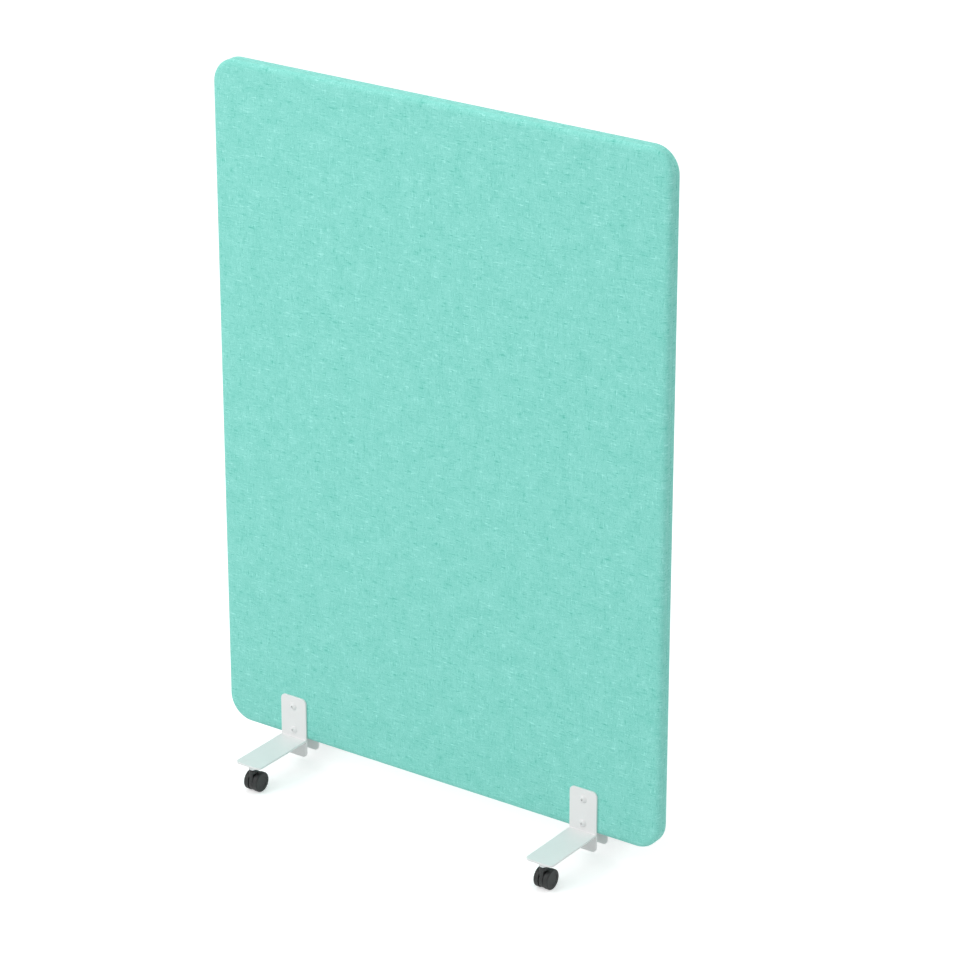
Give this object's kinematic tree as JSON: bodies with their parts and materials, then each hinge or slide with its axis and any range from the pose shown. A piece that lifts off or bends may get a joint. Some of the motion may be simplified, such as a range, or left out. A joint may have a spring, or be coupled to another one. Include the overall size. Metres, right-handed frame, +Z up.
{
  "type": "acoustic divider screen",
  "caption": "Free-standing acoustic divider screen: a turquoise upholstered panel with rounded corners on flat white steel feet with twin-wheel casters.",
  "frame": {"origin": "on the floor, under the middle of the screen", "axes": "+X along the panel's width, to the right as seen from the front; -Y out of the front face; +Z up"},
  "size_m": [1, 0.338, 1.413],
  "materials": {
    "fabric": "woven",
    "padding": "soft",
    "core": "fibrous",
    "wood": "planed",
    "block_wood": "plywood",
    "dowel_wood": "turned",
    "white_steel": "satin powder coat",
    "white_screw": "satin",
    "zinc_steel": "zinc plated",
    "spring_steel": "blued",
    "caster_plastic": "moulded",
    "wheel_plastic": "moulded"
  },
  "bodies": {
    "screen": {"frame_rail_top": "wood", "frame_rail_bottom": "wood", "frame_stile_left": "wood", "frame_stile_right": "wood", "corner_block_top_left": "block_wood", "corner_block_top_right": "block_wood", "corner_block_bottom_left": "block_wood", "corner_block_bottom_right": "block_wood", "frame_dowels": "dowel_wood", "foot_block_left": "block_wood", "foot_block_right": "block_wood", "foot_bushings": "zinc_steel", "acoustic_core": "core", "padding_front": "padding", "padding_rear": "padding", "cover_front": "fabric", "cover_rear": "fabric", "foot_front_left": "white_steel", "foot_front_right": "white_steel", "foot_rear_left": "white_steel", "foot_rear_right": "white_steel", "foot_screws_left": "white_screw", "foot_screws_right": "white_screw", "sleeve_nuts_left": "white_screw", "sleeve_nuts_right": "white_screw", "caster_front_left_stem": "zinc_steel", "caster_front_left_ring": "spring_steel", "caster_front_right_stem": "zinc_steel", "caster_front_right_ring": "spring_steel", "caster_rear_left_stem": "zinc_steel", "caster_rear_left_ring": "spring_steel", "caster_rear_right_stem": "zinc_steel", "caster_rear_right_ring": "spring_steel"},
    "caster_front_left_swivel": {"caster_front_left_body": "caster_plastic", "caster_front_left_axle": "zinc_steel"},
    "caster_front_left_wheel_a": {"caster_front_left_wheel_a": "wheel_plastic"},
    "caster_front_left_wheel_b": {"caster_front_left_wheel_b": "wheel_plastic"},
    "caster_front_right_swivel": {"caster_front_right_body": "caster_plastic", "caster_front_right_axle": "zinc_steel"},
    "caster_front_right_wheel_a": {"caster_front_right_wheel_a": "wheel_plastic"},
    "caster_front_right_wheel_b": {"caster_front_right_wheel_b": "wheel_plastic"},
    "caster_rear_left_swivel": {"caster_rear_left_body": "caster_plastic", "caster_rear_left_axle": "zinc_steel"},
    "caster_rear_left_wheel_a": {"caster_rear_left_wheel_a": "wheel_plastic"},
    "caster_rear_left_wheel_b": {"caster_rear_left_wheel_b": "wheel_plastic"},
    "caster_rear_right_swivel": {"caster_rear_right_body": "caster_plastic", "caster_rear_right_axle": "zinc_steel"},
    "caster_rear_right_wheel_a": {"caster_rear_right_wheel_a": "wheel_plastic"},
    "caster_rear_right_wheel_b": {"caster_rear_right_wheel_b": "wheel_plastic"}
  },
  "joints": [
    {"name": "caster_front_left_turn", "type": "hinge", "parent": "screen", "child": "caster_front_left_swivel", "pos_m": [-0.338, -0.1515, 0.045], "axis": [0, 0, 1], "continuous": true},
    {"name": "caster_front_left_roll_a", "type": "hinge", "parent": "caster_front_left_swivel", "child": "caster_front_left_wheel_a", "pos_m": [-0.338, -0.1415, 0.02], "axis": [1, 0, 0], "continuous": true},
    {"name": "caster_front_left_roll_b", "type": "hinge", "parent": "caster_front_left_swivel", "child": "caster_front_left_wheel_b", "pos_m": [-0.338, -0.1415, 0.02], "axis": [1, 0, 0], "continuous": true},
    {"name": "caster_front_right_turn", "type": "hinge", "parent": "screen", "child": "caster_front_right_swivel", "pos_m": [0.338, -0.1515, 0.045], "axis": [0, 0, 1], "continuous": true},
    {"name": "caster_front_right_roll_a", "type": "hinge", "parent": "caster_front_right_swivel", "child": "caster_front_right_wheel_a", "pos_m": [0.338, -0.1415, 0.02], "axis": [1, 0, 0], "continuous": true},
    {"name": "caster_front_right_roll_b", "type": "hinge", "parent": "caster_front_right_swivel", "child": "caster_front_right_wheel_b", "pos_m": [0.338, -0.1415, 0.02], "axis": [1, 0, 0], "continuous": true},
    {"name": "caster_rear_left_turn", "type": "hinge", "parent": "screen", "child": "caster_rear_left_swivel", "pos_m": [-0.338, 0.1515, 0.045], "axis": [0, 0, 1], "continuous": true},
    {"name": "caster_rear_left_roll_a", "type": "hinge", "parent": "caster_rear_left_swivel", "child": "caster_rear_left_wheel_a", "pos_m": [-0.338, 0.1415, 0.02], "axis": [1, 0, 0], "continuous": true},
    {"name": "caster_rear_left_roll_b", "type": "hinge", "parent": "caster_rear_left_swivel", "child": "caster_rear_left_wheel_b", "pos_m": [-0.338, 0.1415, 0.02], "axis": [1, 0, 0], "continuous": true},
    {"name": "caster_rear_right_turn", "type": "hinge", "parent": "screen", "child": "caster_rear_right_swivel", "pos_m": [0.338, 0.1515, 0.045], "axis": [0, 0, 1], "continuous": true},
    {"name": "caster_rear_right_roll_a", "type": "hinge", "parent": "caster_rear_right_swivel", "child": "caster_rear_right_wheel_a", "pos_m": [0.338, 0.1415, 0.02], "axis": [1, 0, 0], "continuous": true},
    {"name": "caster_rear_right_roll_b", "type": "hinge", "parent": "caster_rear_right_swivel", "child": "caster_rear_right_wheel_b", "pos_m": [0.338, 0.1415, 0.02], "axis": [1, 0, 0], "continuous": true}
  ]
}
